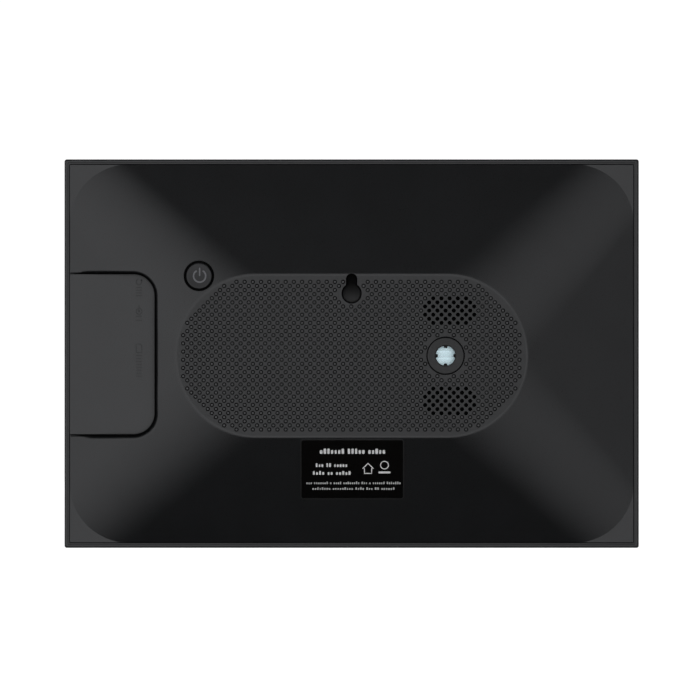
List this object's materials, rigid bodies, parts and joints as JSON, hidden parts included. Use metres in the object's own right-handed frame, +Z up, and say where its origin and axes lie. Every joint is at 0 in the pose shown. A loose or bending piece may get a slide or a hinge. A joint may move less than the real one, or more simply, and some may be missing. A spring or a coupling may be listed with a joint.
{
  "type": "digital photo frame",
  "caption": "Landscape digital photo frame with a domed back, keyhole, stand socket, speaker grilles, push button and a side recess for its ports.",
  "frame": {"origin": "middle of the box's underside, on the surface the frame stands on", "axes": "+X along the width, to the right as seen from the screen side; +Y out of the back, away from the screen; +Z up"},
  "size_m": [0.255, 0.024, 0.1725],
  "materials": {
    "cover_plastic": "fine-textured satin black moulding",
    "frame_plastic": "satin black moulding",
    "socket_plastic": "smooth satin dark grey",
    "dark_plastic": "plain black",
    "white_plastic": "translucent white",
    "screen_glass": "polished, with a black printed border",
    "display_cell": "near-black polariser, display off",
    "display_metal": "bright brushed",
    "sheet_metal": "plain",
    "fastener_steel": "plated",
    "circuit_board": "green solder mask",
    "chip_resin": "moulded resin",
    "flex_film": "amber film",
    "contact_brass": "plated",
    "label_film": "glossy black film with pale print",
    "foam_tape": "foam",
    "speaker_paper": "pressed membrane",
    "wire_jacket": "satin"
  },
  "bodies": {
    "casing": {"antenna_cable": "wire_jacket", "board_screw_1": "fastener_steel", "board_screw_2": "fastener_steel", "board_screw_3": "fastener_steel", "board_screw_4": "fastener_steel", "card_socket": "sheet_metal", "dc_jack": "dark_plastic", "dc_jack_pin": "contact_brass", "display_cable": "flex_film", "display_connector": "chip_resin", "front_frame": "frame_plastic", "glass_tape": "foam_tape", "keyhole_pocket": "dark_plastic", "lcd_back_plate": "display_metal", "lcd_backlight": "white_plastic", "lcd_bracket_1": "sheet_metal", "lcd_bracket_2": "sheet_metal", "lcd_bracket_3": "sheet_metal", "lcd_bracket_4": "sheet_metal", "lcd_cell": "display_cell", "lcd_driver_board": "circuit_board", "lcd_gasket": "foam_tape", "lcd_screw_1": "fastener_steel", "lcd_screw_2": "fastener_steel", "lcd_screw_3": "fastener_steel", "lcd_screw_4": "fastener_steel", "main_board": "circuit_board", "memory_chip": "chip_resin", "power_inductor": "chip_resin", "power_switch_body": "dark_plastic", "processor": "chip_resin", "rating_label": "label_film", "rear_cover": "cover_plastic", "reset_switch_body": "dark_plastic", "socket_screw_1": "fastener_steel", "socket_screw_2": "fastener_steel", "speaker_basket_1": "dark_plastic", "speaker_basket_2": "dark_plastic", "speaker_cone_1": "speaker_paper", "speaker_cone_2": "speaker_paper", "speaker_connector": "white_plastic", "speaker_magnet_1": "fastener_steel", "speaker_magnet_2": "fastener_steel", "speaker_screw_1": "fastener_steel", "speaker_screw_2": "fastener_steel", "speaker_screw_3": "fastener_steel", "speaker_screw_4": "fastener_steel", "speaker_wire_1": "wire_jacket", "speaker_wire_2": "wire_jacket", "stand_socket": "socket_plastic", "touch_cable": "flex_film", "touch_connector": "chip_resin", "touch_glass": "screen_glass", "wifi_antenna": "circuit_board", "wifi_module": "sheet_metal"},
    "power_button": {"power_button": "cover_plastic"},
    "power_plunger": {"power_switch_plunger": "dark_plastic"},
    "reset_plunger": {"reset_plunger": "white_plastic"},
    "card_slider": {"card_slider": "dark_plastic"}
  },
  "joints": [
    {"name": "power_button_press", "type": "slide", "parent": "casing", "child": "power_button", "axis": [0, -1, 0], "range_m": [0, 0.0004], "stiffness_N_per_m": 3000, "springref_m": -0.0002},
    {"name": "power_plunger_press", "type": "slide", "parent": "casing", "child": "power_plunger", "axis": [0, -1, 0], "range_m": [0, 0.0004]},
    {"name": "reset_press", "type": "slide", "parent": "casing", "child": "reset_plunger", "axis": [-1, 0, 0], "range_m": [0, 0.0003], "stiffness_N_per_m": 3000, "springref_m": -0.0002},
    {"name": "card_slider_push", "type": "slide", "parent": "casing", "child": "card_slider", "axis": [-1, 0, 0], "range_m": [0, 0.001], "stiffness_N_per_m": 300, "springref_m": -0.001}
  ],
  "couplings": [
    {"joint": "power_plunger_press", "follows": "power_button_press", "ratio": 1}
  ]
}
